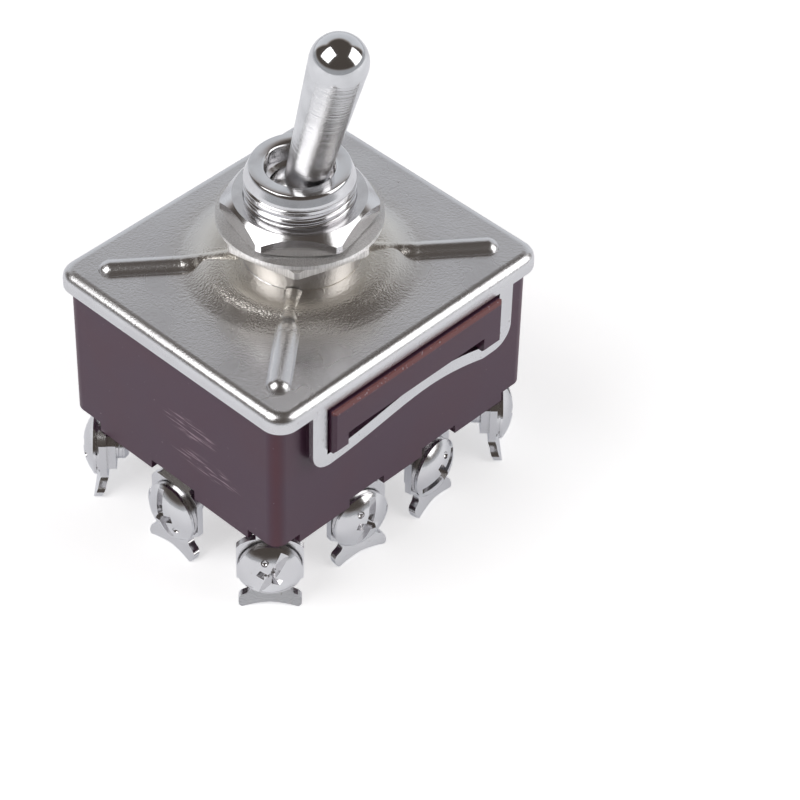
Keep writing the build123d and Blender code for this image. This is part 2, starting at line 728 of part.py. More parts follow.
def rocker(x):
    """Formed rocking contact: trough for the plunger, two arms and two flanges on the pin."""
    edge_z = trough_centre_z - sqrt(trough_r ** 2 - trough_half ** 2)
    pad_in = rocker_reach - rocker_pad
    pad_out = rocker_reach + rocker_pad
    top_z = rocker_thickness / 2
    brow = trough_half + 0.8
    upper = Polyline((-pad_out, top_z), (-pad_in, top_z), (-brow, edge_z), (-trough_half, edge_z))
    upper += ThreePointArc((-trough_half, edge_z), (0, trough_centre_z - trough_r), (trough_half, edge_z))
    upper += Polyline((trough_half, edge_z), (brow, edge_z), (pad_in, top_z), (pad_out, top_z))
    under_z = top_z - rocker_thickness
    low_r = trough_r + rocker_thickness
    low_half = trough_half + 0.5
    low_edge = trough_centre_z - sqrt(low_r ** 2 - low_half ** 2)
    lower = Polyline((pad_out, top_z), (pad_out, under_z), (pad_in - 0.1, under_z), (low_half, low_edge))
    lower += ThreePointArc((low_half, low_edge), (0, trough_centre_z - low_r), (-low_half, low_edge))
    lower += Polyline((-low_half, low_edge), (0.1 - pad_in, under_z), (-pad_out, under_z), (-pad_out, top_z))
    strip = extrude(Plane.YZ * make_face(upper + lower), amount=rocker_width / 2, both=True)
    flange_high = rocker_pin_r + rocker_thickness / 2
    flange_low = -rocker_pin_r - 0.5
    for sx in (-1, 1):
        fx = sx * (rocker_width - rocker_flange) / 2
        flange = Box(rocker_flange, 3.2, flange_high - flange_low)
        strip += Pos(fx, 0, (flange_high + flange_low) / 2) * flange
    strip -= Rot(0, 90, 0) * Cylinder(rocker_pin_r + 0.01, 2 * rocker_width)
    return at_rocker(x, strip)


def rocker_pin(x):
    """Pin that one rocker turns on, carried in the cradle's ears."""
    reach = cradle_half + terminal_thickness
    return at_rocker(x, Rot(0, 90, 0) * Cylinder(rocker_pin_r, 2 * reach))


def rocker_contacts(x):
    """Contact buttons under both ends of one rocker."""
    buttons = []
    for sy in (-1, 1):
        button = Cylinder(button_r, button_height)
        button = Pos(0, sy * rocker_reach, rocker_under - button_height / 2) * button
        buttons.append(at_rocker(x, button))
    return Compound(children=buttons)


def fixed_contacts(x):
    """Contact buttons on the two end terminals of one pole."""
    buttons = []
    for sy in (-1, 1):
        z = foot_z + fixed_contact_height / 2
        buttons.append(Pos(x, sy * rocker_reach, z) * Cylinder(fixed_contact_r, fixed_contact_height))
    return Compound(children=buttons)


os.makedirs("parts", exist_ok=True)

keep("cover", cover())
keep("liner", liner())
keep("housing", housing())
keep("bushing", bushing())
keep("retainer_sleeve", retainer_sleeve())
keep("pivot_pin", pivot_pin())
keep("lower_nut", hex_nut(lower_nut_flats, lower_nut_z, lower_nut_height, 43.0, 0.7, 0.1))
keep("panel_washer", ring(washer_r, washer_bore_r, washer_z, upper_nut_z))
keep("upper_nut", hex_nut(upper_nut_flats, upper_nut_z, upper_nut_height, 14.5, 0.95, 0.4))
keep("lever", lever())
keep("actuator", actuator())
keep("axle_keepers", axle_keepers())

for number, pole_x in enumerate(pole_xs, start=1):
    keep(f"plunger_{number}", plunger(pole_x))
    keep(f"plunger_spring_{number}", plunger_spring(pole_x))
    keep(f"rocker_{number}", rocker(pole_x))
    keep(f"rocker_pin_{number}", rocker_pin(pole_x))
    keep(f"rocker_contacts_{number}", rocker_contacts(pole_x))
    keep(f"fixed_contacts_{number}", fixed_contacts(pole_x))

screw_turns = [239.5, 247.3, 205.4, 80, 140, 35, 100, 10, 109.6, 155, 27, 90]
screws = []
washers = []
nuts = []
for spot, screw_turn in zip(terminal_spots(), screw_turns):
    name, x, y, facing = spot[:4]
    keep(name, terminal(*spot))
    screws.append(placed(x, y, facing, terminal_screw(screw_turn)))
    washers.append(placed(x, y, facing, screw_washers(screw_turn + 60)))
    nuts.append(placed(x, y, facing, terminal_nut()))
keep("front_screws", Compound(children=screws[:4]))
keep("rear_screws", Compound(children=screws[4:8]))
keep("common_screws", Compound(children=screws[8:]))
keep("screw_washers", Compound(children=washers))
keep("screw_nuts", Compound(children=nuts))
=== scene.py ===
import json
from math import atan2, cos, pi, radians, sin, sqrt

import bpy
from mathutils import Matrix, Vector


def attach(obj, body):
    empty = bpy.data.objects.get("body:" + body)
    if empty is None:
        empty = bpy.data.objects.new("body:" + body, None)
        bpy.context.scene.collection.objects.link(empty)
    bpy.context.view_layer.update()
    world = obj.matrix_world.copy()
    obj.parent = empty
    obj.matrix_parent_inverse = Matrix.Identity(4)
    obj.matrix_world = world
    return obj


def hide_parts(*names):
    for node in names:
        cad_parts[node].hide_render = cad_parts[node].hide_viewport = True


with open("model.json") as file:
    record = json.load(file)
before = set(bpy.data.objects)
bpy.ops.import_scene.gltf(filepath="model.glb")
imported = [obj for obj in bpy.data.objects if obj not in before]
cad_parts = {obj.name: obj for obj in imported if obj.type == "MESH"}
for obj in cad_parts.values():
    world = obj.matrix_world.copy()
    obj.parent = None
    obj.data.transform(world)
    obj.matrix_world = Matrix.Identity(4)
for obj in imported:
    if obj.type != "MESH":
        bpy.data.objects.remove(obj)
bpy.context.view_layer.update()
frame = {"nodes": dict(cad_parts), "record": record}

# %% [markdown]
# # A four-pole toggle switch
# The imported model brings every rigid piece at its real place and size. This lesson
# gives each one its finish, cuts the fine threads that the plain barrel leaves out,
# and sets the switch in a small white studio. Lengths are in millimetres until they
# reach Blender, which works in metres.

MM = 0.001
nodes = frame["nodes"]
cover_top = 30.1
lever_pivot_z = cover_top + 8.3
lever_lean = radians(15)

# %% [markdown]
# ## The camera
# The photograph was taken from a corner of the cover, a little above it, with a long
# lens. The place and turn of the camera were worked out from known points of the
# object, so they are given as angles and a distance from a point inside the housing.

# %% Camera
view_azimuth = radians(-47.04)
view_height = radians(42.94)
view_roll = radians(1.70)
view_distance = 350.69
view_target = Vector((4.77, -10.92, cover_top - 16.82))
view_lens = 142.86
sensor_width = 36.0


def camera_turn():
    """Turn of the camera: its right, up and backward directions as columns."""
    level = cos(view_height)
    back = Vector((sin(view_azimuth) * level, -cos(view_azimuth) * level, sin(view_height)))
    right = Vector((cos(view_azimuth), sin(view_azimuth), 0.0))
    up = back.cross(right)
    level_right = right * cos(view_roll) + up * sin(view_roll)
    level_up = up * cos(view_roll) - right * sin(view_roll)
    return Matrix((level_right, level_up, back)).transposed()


camera_data = bpy.data.cameras.new("photo_camera")
camera_data.lens = view_lens
camera_data.sensor_width = sensor_width
camera = bpy.data.objects.new("photo_camera", camera_data)
turn = camera_turn()
eye = view_target + turn.col[2] * view_distance
camera.matrix_world = Matrix.Translation(eye * MM) @ turn.to_4x4()
bpy.context.scene.collection.objects.link(camera)
bpy.context.scene.camera = camera
print("camera at", tuple(round(v, 1) for v in eye), "mm")

# %% [markdown]
# ## Writing materials as sums
# A material is a chain of small nodes. Wrapping a socket in a class that knows plus,
# minus, times and divide lets the chain be written as an ordinary expression, and one
# method makes every other kind of node.

# %% A socket that can be calculated with
class Flow:
    """A socket of one node tree; arithmetic on it adds Math nodes."""

    def __init__(self, graph, socket):
        self.graph = graph
        self.socket = socket

    def _math(self, operation, *values):
        return self.graph.node("ShaderNodeMath", {"operation": operation}, *values)

    def __add__(self, other):
        return self._math("ADD", self, other)

    __radd__ = __add__

    def __sub__(self, other):
        return self._math("SUBTRACT", self, other)

    def __rsub__(self, other):
        return self._math("SUBTRACT", other, self)

    def __mul__(self, other):
        return self._math("MULTIPLY", self, other)

    __rmul__ = __mul__

    def __truediv__(self, other):
        return self._math("DIVIDE", self, other)

    def __rtruediv__(self, other):
        return self._math("DIVIDE", other, self)

    def least(self, other):
        return self._math("MINIMUM", self, other)

    def most(self, other):
        return self._math("MAXIMUM", self, other)

    def size(self):
        return self._math("ABSOLUTE", self)

    def root(self):
        return self._math("SQRT", self)

    def part(self):
        """What is left of a number after its whole turns."""
        return self._math("FRACT", self)

    def angle_to(self, other):
        return self._math("ARCTAN2", self, other)

    def step(self, low, high):
        """Smooth change from 0 at low to 1 at high."""
        settings = {"interpolation_type": "SMOOTHSTEP"}
        return self.graph.node("ShaderNodeMapRange", settings, self, low, high, 0.0, 1.0)


# %% A tree of nodes
class Graph:
    """One node tree, filled by expressions."""

    def __init__(self, tree):
        self.tree = tree

    def node(self, kind, settings, *values, out=0, at=(), **named):
        """Add a node, give its settings first and then its sockets, and return one output."""
        node = self.tree.nodes.new(kind)
        for key, value in settings.items():
            setattr(node, key, value)
        for key, value in [*enumerate(values), *at, *named.items()]:
            self.feed(node.inputs[key], value)
        return Flow(self, node.outputs[out])

    def feed(self, socket, value):
        """Link a socket to another or write a plain value into it."""
        if isinstance(value, Flow):
            self.tree.links.new(value.socket, socket)
        elif isinstance(value, tuple) and len(value) == 3 and len(socket.default_value) == 4:
            socket.default_value = (*value, 1.0)
        else:
            socket.default_value = value

    def split(self, vector):
        """The three numbers of a vector."""
        parts = self.node("ShaderNodeSeparateXYZ", {}, vector).socket.node
        return [Flow(self, parts.outputs[i]) for i in range(3)]

    def mix(self, share, first, second):
        """Blend of two colours; sockets 6 and 7 of a Mix node are its colours."""
        colours = ((0, share), (6, first), (7, second))
        return self.node("ShaderNodeMix", {"data_type": "RGBA"}, out=2, at=colours)


# %% A material
class Finish(Graph):
    """One material: a Principled shader and the nodes that feed it."""

    def __init__(self, name):
        self.material = bpy.data.materials.new(name)
        self.material.use_nodes = True
        super().__init__(self.material.node_tree)
        self.shader = self.tree.nodes["Principled BSDF"]
        self.place = self.node("ShaderNodeTexCoord", {}, out="Object")

    def axes(self):
        """The surface point's three coordinates, in millimetres."""
        return [axis / MM for axis in self.split(self.place)]

    def turned_place(self, centre, turn):
        """Object coordinates centred on a point in millimetres and turned."""
        middle = tuple(v * MM for v in centre)
        moved = self.node("ShaderNodeVectorMath", {"operation": "SUBTRACT"}, self.place, middle)
        return self.node("ShaderNodeMapping", {}, Vector=moved, Rotation=turn)

    def grain(self, size, detail=3.0, stretch=(1, 1, 1), spot=(0, 0, 0), place=None):
        """Noise from 0 to 1 whose marks are about the given size in millimetres."""
        scale = tuple(1 / (size * MM * s) for s in stretch)
        place = self.node("ShaderNodeMapping", {}, place or self.place, Location=spot, Scale=scale)
        return self.node("ShaderNodeTexNoise", {}, Vector=place, Scale=1.0, Detail=detail)

    def bump(self, height, depth):
        """Normal of a surface whose height rises by depth millimetres for each unit."""
        return self.node("ShaderNodeBump", {}, Strength=1.0, Distance=depth * MM, Height=height)

    def wear(self, **sockets):
        """Feed the shader's own sockets."""
        for key, value in sockets.items():
            self.feed(self.shader.inputs[key.replace("_", " ")], value)
        return self.material


# %% [markdown]
# ## Nickel plate
# Bright metal is almost all reflection: its colour is pale and nearly grey, and what
# tells one piece from another is how rough it is. Plate over pressed sheet has a fine
# orange-peel grain, turned pieces carry rings round their axis, and sawn flats carry
# straight marks. Each of these is a bump of a few thousandths of a millimetre.

# %% Plated sheet
nickel_pale = (0.78, 0.775, 0.785)
nickel_dark = (0.69, 0.68, 0.69)
tarnish = (0.34, 0.31, 0.28)
# Warm tone for a painted reflection of the room on the dome.
painted_warm_reflection = (0.74, 0.69, 0.60)
cloud_size = 6.0
speck_size = 0.45


def clouds_and_specks(finish):
    """Two masks that every plated sheet has: wide soft clouds and rare dark specks."""
    clouds = finish.grain(cloud_size, detail=2.0)
    specks = finish.grain(speck_size, detail=1.0, spot=(3, 1, 7)).step(0.76, 0.80)
    return clouds, specks


def plate_tone(finish, clouds):
    """Nickel colour that gets a little darker in the clouds."""
    return finish.mix(clouds.step(0.3, 0.75) * 0.6, nickel_pale, nickel_dark)


def plated_sheet(name, rough, peel_depth, peel_size=0.16):
    """Nickel over bright strip: soft gloss with a fine grain and a few specks."""
    finish = Finish(name)
    clouds, specks = clouds_and_specks(finish)
    return finish.wear(
        Base_Color=finish.mix(specks * 0.5, plate_tone(finish, clouds), tarnish),
        Metallic=1.0,
        Roughness=rough + (clouds - 0.5) * 0.05 + specks * 0.12,
        Normal=finish.bump(finish.grain(peel_size, detail=2.0), peel_depth),
    )


terminal_finish = plated_sheet("bright_nickel_strip", 0.20, 0.004)
screw_finish = plated_sheet("bright_nickel_screw", 0.14, 0.002)
print("made", terminal_finish.name, "and", screw_finish.name)

# %% [markdown]
# The real cover's dome falls away from the collar more gently than the plain solid's.
# The difference between the two heights goes into the bump: each is an S of two arcs,
# written as a function of the radius. Where the sheet was drawn most, round the collar,
# its orange-peel grain is deeper, and a warm painted reflection is mixed into the
# plate's colour there.

# %% Cover
dome_height = 1.1
solid_dome = (9.6, 12.8)
soft_dome = (8.0, 13.4)
collar_peel_and_reflection_zone = (8.0, 16.0)
flat_peel = 0.017
drawn_peel = 0.045
satin_rough = 0.27
cover = Finish("satin_nickel_cover")
cover_x, cover_y, cover_z = cover.axes()
from_axis = (cover_x * cover_x + cover_y * cover_y).root()


def dome_rise(radius, start, foot):
    """Height of an S of two equal arcs that falls from start to foot."""
    half = (foot - start) / 2
    arc_r = (half ** 2 + (dome_height / 2) ** 2) / dome_height
    from_middle = (start + foot) / 2 - radius
    from_end = (half - from_middle.size()).most(0.0)
    sag = arc_r - (arc_r ** 2 - from_end * from_end).root()
    side = from_middle.step(-0.001, 0.001) * 2 - 1
    return dome_height / 2 + side * (dome_height / 2 - sag)


eased = dome_rise(from_axis, *soft_dome) - dome_rise(from_axis, *solid_dome)
eased = eased * cover_z.step(cover_top - 0.4, cover_top - 0.2)
# Mask round the collar: it deepens the peel grain and places the painted warm reflection.
collar_peel_and_reflection = 1 - from_axis.step(*collar_peel_and_reflection_zone)
peel = cover.grain(0.25, detail=2.0) * (flat_peel + collar_peel_and_reflection * drawn_peel)
clouds, specks = clouds_and_specks(cover)
# Painted reflection: the plate colour is mixed towards a warm tone round the collar.
cover_tone_and_reflection = cover.mix(collar_peel_and_reflection * 0.7, plate_tone(cover, clouds), painted_warm_reflection)
cover_finish = cover.wear(
    Base_Color=cover.mix(specks * 0.5, cover_tone_and_reflection, tarnish),
    Metallic=1.0,
    Roughness=satin_rough + (clouds - 0.5) * 0.05 + specks * 0.12,
    Normal=cover.bump(eased + peel, 1.0),
)
print("dome eased from", solid_dome, "to", soft_dome, "mm")

# %% [markdown]
# The upper nut and the pins came off a lathe, whose tool leaves rings round the axis.
# Drawing a noise out sixty times along X and Y, and leaving it short along Z, gives
# such rings without a picture. Slow smudges from handling break up the gloss.

# %% Turned pieces
ring_size = 0.12
ring_stretch = (60, 60, 1)
smudge_size = 2.5


def smudged_tone(finish, smudge):
    """Nickel colour with darker smudges from handling."""
    return finish.mix(smudge.step(0.4, 0.75), nickel_pale, nickel_dark)


def turned_metal(name, rough, ring_depth):
    """Nickel over a turned piece: rings across its axis."""
    finish = Finish(name)
    rings = finish.grain(ring_size, stretch=ring_stretch)
    smudge = finish.grain(smudge_size)
    return finish.wear(
        Base_Color=smudged_tone(finish, smudge),
        Metallic=1.0,
        Roughness=rough + (smudge - 0.5) * 0.08,
        Normal=finish.bump(rings, ring_depth),
    )


nut_finish = turned_metal("bright_nickel_nut", 0.17, 0.005)
inner_steel = turned_metal("ground_steel", 0.25, 0.002)
print("made", nut_finish.name, "and", inner_steel.name)

# %% [markdown]
# The bushing was plated in two states: its thread is bright, while the round shoulder
# that stands on the cover was blasted and has the cover's grain. The height of the
# point decides which of the two bumps it gets, so one material covers the whole piece.

# %% Bushing
shoulder_height = 4.1
ring_depth = 0.0012
blast_depth = 0.030
bushing = Finish("nickel_bushing")
blasted = 1 - (bushing.axes()[2] - cover_top).step(shoulder_height - 0.1, shoulder_height)
fine_rings = bushing.grain(ring_size, stretch=ring_stretch)
blast_grain = bushing.grain(0.24, detail=2.0)
bushing_finish = bushing.wear(
    Base_Color=smudged_tone(bushing, bushing.grain(smudge_size)),
    Metallic=1.0,
    Roughness=0.13 + blasted * 0.17,
    Normal=bushing.bump(fine_rings * ring_depth + blast_grain * blasted * blast_depth, 1.0),
)
print("shoulder blasted up to", shoulder_height, "mm over the cover")

# %% [markdown]
# The lower nut was sawn from bar and left rougher: its flats carry upright saw marks.
# A noise that is long along Z and short across it leaves marks on every flat, whichever
# way the flat faces.

# %% Sawn nut
sawn_bright = (0.96, 0.95, 0.94)
sawn_dull = (0.80, 0.79, 0.78)
saw_mark_size = 0.17
saw_mark_stretch = (1, 1, 30)
sawn = Finish("sawn_nickel_nut")
saw_marks = sawn.grain(saw_mark_size, detail=2.0, stretch=saw_mark_stretch)
saw_patch = sawn.grain(1.6, detail=2.0)
sawn_finish = sawn.wear(
    Base_Color=sawn.mix(saw_marks.step(0.35, 0.65), sawn_bright, sawn_dull),
    Metallic=1.0,
    Roughness=0.40 + saw_patch * 0.12,
    Normal=sawn.bump(saw_marks, 0.030),
)
print("saw marks", saw_mark_size, "mm wide")

# %% [markdown]
# The lever leans, so the rings of its lathe lean with it. A Mapping node turns the
# coordinates until their Z runs along the lever. The shaft is left with these rings,
# while the round tip was polished: the roughness falls towards the tip.

# %% Lever
lever_pale = (0.79, 0.79, 0.80)
lever_dark = (0.70, 0.70, 0.71)
polish_from = 20.4
polish_to = 21.8
lever = Finish("lever_nickel")
along_lever = lever.turned_place((0, 0, lever_pivot_z), (-lever_lean, 0, 0))
lever_height = lever.split(along_lever)[2] / MM
polished = lever_height.step(polish_from, polish_to)
lathe_rings = lever.grain(0.24, detail=4.0, stretch=(40, 40, 1), place=along_lever)
lever_smudge = lever.grain(3.0)
lever_finish = lever.wear(
    Base_Color=lever.mix(lever_smudge.step(0.4, 0.7), lever_pale, lever_dark),
    Metallic=1.0,
    Roughness=0.25 - polished * 0.15 + (lever_smudge - 0.5) * 0.05,
    Normal=lever.bump(lathe_rings * (1 - polished), 0.034),
)

# %% [markdown]
# ## Maroon moulding
# The housing is a hard brown-red moulding with a slight skin gloss. Its corners and the
# top edge of its pads are painted redder, a painted sheen where the light grazes them,
# and handling has left pale scuffs on one end. The scuffs are a noise drawn out along Y
# and kept inside two soft ovals.

# %% Housing
maroon = (0.081, 0.031, 0.064)
maroon_warm = (0.100, 0.031, 0.050)
# Painted sheen: a lighter red for the edges and corners that the light grazes.
painted_sheen_red = (0.20, 0.030, 0.030)
scuff_tone = (0.44, 0.32, 0.38)
end_face_x = 19.3
pad_face_y = 17.7
pad_top_drop = 2.75
corner_from = (17.9, 14.7)
corner_to = (19.0, 15.8)
# Each scuff: its middle along Y and below the cover, and half its width and height.
upper_scuff = (-3.0, -10.6, 4.8, 1.6)
lower_scuff = (-5.4, -14.7, 6.0, 1.4)
housing = Finish("maroon_moulding")
x, y, z = housing.axes()
drop = z - cover_top


def oval(centre_y, centre_z, half_y, half_z):
    """Soft spot on an end face."""
    away = ((y - centre_y) / half_y) * ((y - centre_y) / half_y)
    away = away + ((drop - centre_z) / half_z) * ((drop - centre_z) / half_z)
    return 1 - away.step(0.25, 1.0)


streaks = housing.grain(0.20, detail=3.0, stretch=(1, 12, 1), spot=(0, 4, 0)).step(0.50, 0.66)
scuffs = (oval(*upper_scuff) + oval(*lower_scuff)).least(1.0)
scuffs = scuffs * streaks * (-1 * x).step(end_face_x - 0.3, end_face_x)
# Painted sheen along the top edge of the pads on the two long faces.
painted_edge_sheen = drop.step(-pad_top_drop - 0.35, -pad_top_drop)
painted_edge_sheen = painted_edge_sheen * y.size().step(pad_face_y - 0.1, pad_face_y)
# Painted sheen on the upright corners of the housing.
corner = x.size().step(corner_from[0], corner_to[0])
corner = corner * y.size().step(corner_from[1], corner_to[1])
mottle = housing.grain(7.0, detail=2.0)
skin = housing.grain(0.3, detail=2.0)
dust = housing.grain(0.35, detail=1.0, spot=(5, 2, 9)).step(0.775, 0.79)
# Pale flecks along the pad edges, inside the painted sheen.
flecks = painted_edge_sheen * housing.grain(0.30, detail=1.0, spot=(1, 6, 2)).step(0.66, 0.72)
tone = housing.mix(mottle.step(0.3, 0.8) * 0.4, maroon, maroon_warm)
# The painted grazing-light sheen on edges and corners is mixed into the maroon here.
tone = housing.mix((painted_edge_sheen * 0.9).most(corner * 0.30), tone, painted_sheen_red)
tone = housing.mix((scuffs * 0.85).most(dust * 0.45).most(flecks * 0.8), tone, scuff_tone)
housing_finish = housing.wear(
    Base_Color=tone,
    Metallic=0.0,
    Roughness=0.34 + (mottle - 0.5) * 0.08 + scuffs * 0.25,
    Normal=housing.bump(skin, 0.004),
)
print("scuffs on the end face at x", -end_face_x, "mm")

# %% [markdown]
# ## Works under the cover
# These pieces show only in the bushing's mouth or when the switch is taken apart. They
# still get the tone and gloss of what they are made of: mouldings, fibre and brass.

# %% Inner mouldings
def moulding(name, base, tint, rough):
    """Hard moulding: mottled tone, skin gloss and a soft grain."""
    finish = Finish(name)
    mottle = finish.grain(6.0)
    return finish.wear(
        Base_Color=finish.mix(mottle.step(0.35, 0.75) * 0.35, base, tint),
        Metallic=0.0,
        Roughness=rough + (mottle - 0.5) * 0.12,
        Normal=finish.bump(finish.grain(0.25, detail=2.0), 0.006),
    )


black_finish = moulding("black_moulding", (0.02, 0.018, 0.018), (0.04, 0.035, 0.03), 0.45)
cream_finish = moulding("cream_moulding", (0.62, 0.56, 0.45), (0.52, 0.44, 0.32), 0.4)
fibre_finish = moulding("fibre_sheet", (0.30, 0.20, 0.12), (0.22, 0.14, 0.08), 0.7)
print("made", black_finish.name, "and", cream_finish.name, "and", fibre_finish.name)

# %% Stamped brass
brass_bright = (0.72, 0.52, 0.24)
brass_dull = (0.55, 0.38, 0.16)
stamped = Finish("stamped_brass")
stamped_cloud = stamped.grain(2.0)
brass_finish = stamped.wear(
    Base_Color=stamped.mix(stamped_cloud.step(0.3, 0.7), brass_bright, brass_dull),
    Metallic=1.0,
    Roughness=0.25 + stamped_cloud * 0.15,
)
print("made", brass_finish.name)

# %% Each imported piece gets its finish
finish_of_slot = {
    "cover_plate": cover_finish,
    "housing_moulding": housing_finish,
    "liner_fibre": fibre_finish,
    "bushing_plate": bushing_finish,
    "lever_plate": lever_finish,
    "upper_nut_plate": nut_finish,
    "lower_nut_plate": sawn_finish,
    "pin_steel": inner_steel,
    "screw_plate": screw_finish,
    "screw_trim": terminal_finish,
    "terminal_plate": terminal_finish,
    "actuator_moulding": black_finish,
    "spring_steel": inner_steel,
    "plunger_moulding": cream_finish,
    "contact_silver": inner_steel,
    "rocker_brass": brass_finish,
}
for part in frame["record"]["subparts"]:
    materials = nodes[part["node"]].data.materials
    materials.clear()
    materials.append(finish_of_slot[part["material_slot"]])

# %% [markdown]
# ## Pieces grown by Geometry Nodes
# Threads follow a rule: a groove that drops by one pitch for every turn. Geometry Nodes
# state such a rule once and apply it to every point. Each tree below is built from the
# same expressions as the materials, has named inputs for its sizes, and is turned into
# a plain mesh as soon as it has run.

# %% A tree with named inputs
class Growth(Graph):
    """A Geometry Nodes tree whose inputs are sizes."""

    def __init__(self, name, **sizes):
        super().__init__(bpy.data.node_groups.new(name, "GeometryNodeTree"))
        face = self.tree.interface
        face.new_socket("Geometry", in_out="INPUT", socket_type="NodeSocketGeometry")
        face.new_socket("Geometry", in_out="OUTPUT", socket_type="NodeSocketGeometry")
        self.sizes = {}
        for key, value in sizes.items():
            socket = face.new_socket(key, in_out="INPUT", socket_type="NodeSocketFloat")
            self.sizes[socket.identifier] = value
        self.entry = self.tree.nodes.new("NodeGroupInput")

    def given(self, name):
        return Flow(self, self.entry.outputs[name])

    def end(self, geometry, material):
        """Make instances real, give the finish and close the tree."""
        whole = self.node("GeometryNodeRealizeInstances", {}, geometry)
        dressed = self.node("GeometryNodeSetMaterial", {}, whole, Material=material)
        leave = self.tree.nodes.new("NodeGroupOutput")
        self.tree.links.new(dressed.socket, leave.inputs[0])

    def grow(self, name, mesh):
        """Run the tree on a mesh and keep the result as a plain piece."""
        piece = bpy.data.objects.new(name, mesh)
        bpy.context.scene.collection.objects.link(piece)
        modifier = piece.modifiers.new("growth", "NODES")
        modifier.node_group = self.tree
        for identifier, value in self.sizes.items():
            modifier[identifier] = value
        bpy.context.view_layer.update()
        seen = piece.evaluated_get(bpy.context.evaluated_depsgraph_get())
        shape = bpy.data.meshes.new_from_object(seen)
        piece.modifiers.clear()
        piece.data = shape
        return piece


# %% [markdown]
# ## Bushing
# The bushing is one turned piece: spigot, shoulder, a barrel with a 12 mm fine thread
# and a bored seat for the lever's ball. It could be cut with Booleans, but a lathe mesh
# with enough rows down the barrel lets a single Set Position node press the groove in.
# The plain solid's outline is followed, so the nuts still sit where they were.

# %% Lathe
lower_nut_z = cover_top + shoulder_height
bushing_top_z = cover_top + 12.9
chamfer_low_z = bushing_top_z - 1.4
rivet_z = cover_top + 0.5
shoulder_z = cover_top + dome_height
rivet_r = 6.6
spigot_r = 5.5
shoulder_r = 6.7
thread_r = 6.0
rim_r = 5.4
mouth_r = 3.8
mouth_depth = 2.3
sleeve_bore_r = 4.6
edge_break = 0.08
rivet_depth = 1.0
seat_r = 3.75
throat_r = 3.3
throat_depth = 2.6
lathe_steps = 288


def run(start, end, rows):
    """Points from one corner of the outline up to, but not at, the next."""
    (r0, z0), (r1, z1) = start, end
    return [(r0 + (r1 - r0) * i / rows, z0 + (z1 - z0) * i / rows) for i in range(rows)]


def lathe(name, outline):
    """Closed ring mesh from an outline of radius and height in millimetres."""
    count = len(outline)
    points = []
    for k in range(lathe_steps):
        angle = 2 * pi * k / lathe_steps
        points += [(r * cos(angle) * MM, r * sin(angle) * MM, z * MM) for r, z in outline]
    faces = []
    for k in range(lathe_steps):
        here, there = k * count, (k + 1) % lathe_steps * count
        for i in range(count):
            j = (i + 1) % count
            faces.append((here + i, there + i, there + j, here + j))
    mesh = bpy.data.meshes.new(name)
    mesh.from_pydata(points, [], faces)
    mesh.polygons.foreach_set("use_smooth", [True] * len(faces))
    mesh.set_sharp_from_angle(angle=radians(32))
    return mesh


# %% Outline of the bushing
throat_z = lever_pivot_z + sqrt(seat_r ** 2 - throat_r ** 2)
seat_start = atan2(throat_z - lever_pivot_z, throat_r)
barrel_rows = 170
chamfer_rows = 4
seat_rows = 8
outline = [
    (sleeve_bore_r, rivet_z - rivet_depth), (rivet_r, rivet_z - rivet_depth),
    (rivet_r, rivet_z), (spigot_r, rivet_z), (spigot_r, shoulder_z),
    (shoulder_r - edge_break, shoulder_z), (shoulder_r, shoulder_z + edge_break),
    (shoulder_r, lower_nut_z),
]
outline += run((thread_r, lower_nut_z), (thread_r, chamfer_low_z), barrel_rows)
rim_edge = (rim_r + edge_break, bushing_top_z - edge_break)
outline += run((thread_r, chamfer_low_z), rim_edge, chamfer_rows)
outline += [
    rim_edge, (rim_r, bushing_top_z - 0.015), (rim_r - edge_break, bushing_top_z),
    (mouth_r + 0.25, bushing_top_z), (mouth_r + 0.15, bushing_top_z - 0.03),
    (mouth_r + 0.02, bushing_top_z - 0.16), (mouth_r, bushing_top_z - 0.3),
    (mouth_r, bushing_top_z - mouth_depth), (throat_r, bushing_top_z - throat_depth),
    (throat_r, throat_z + 0.2),
]
for i in range(seat_rows + 1):
    down = seat_start * (1 - i / seat_rows)
    outline.append((seat_r * cos(down), lever_pivot_z + seat_r * sin(down)))
outline += [(sleeve_bore_r, lever_pivot_z)]
barrel = lathe("bushing_blank", outline)
print("bushing outline points", len(outline))

# %% Thread
groove_angle = atan2(-cos(view_azimuth), sin(view_azimuth))
groove_z = bushing_top_z - 2.48
thread_sizes = {
    "pitch": 1.0 * MM,
    "depth": 0.42 * MM,
    "opening": 0.62,
    "outer": thread_r * MM,
    "top": chamfer_low_z * MM,
}
thread = Growth("thread", **thread_sizes)
place = thread.node("GeometryNodeInputPosition", {})
px, py, pz = thread.split(place)
radius = (px * px + py * py).root()
turns = (pz - groove_z * MM) / thread.given("pitch")
turns = turns - (py.angle_to(px) - groove_angle) / (2 * pi)
from_groove = ((turns + 0.5).part() - 0.5).size() * 2
wall = (1 - from_groove / thread.given("opening")).most(0.0)
rounded = wall * wall * (3 - 2 * wall)
barrel_only = (radius - thread.given("outer")).step(-0.02 * MM, -0.01 * MM)
run_out = 1 - (pz - thread.given("top")).step(-0.45 * MM, 0.0)
shrink = 1 - thread.given("depth") * rounded * barrel_only * run_out / radius
moved = thread.node("ShaderNodeCombineXYZ", {}, px * shrink, py * shrink, pz)
cut = thread.node("GeometryNodeSetPosition", {}, thread.given("Geometry"), Position=moved)
thread.end(cut, bushing_finish)
threaded = thread.grow("threaded_bushing", barrel)
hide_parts("bushing")
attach(threaded, "base")
print("threaded bushing faces", len(threaded.data.polygons))

# %% [markdown]
# ## Screw ends
# Behind each terminal the free end of its screw shows a few turns of thread. The tree
# bends a spiral into a wire, carries it to twelve points and turns it along each screw.
# The points hold the direction in an attribute, so one tree serves all of them.

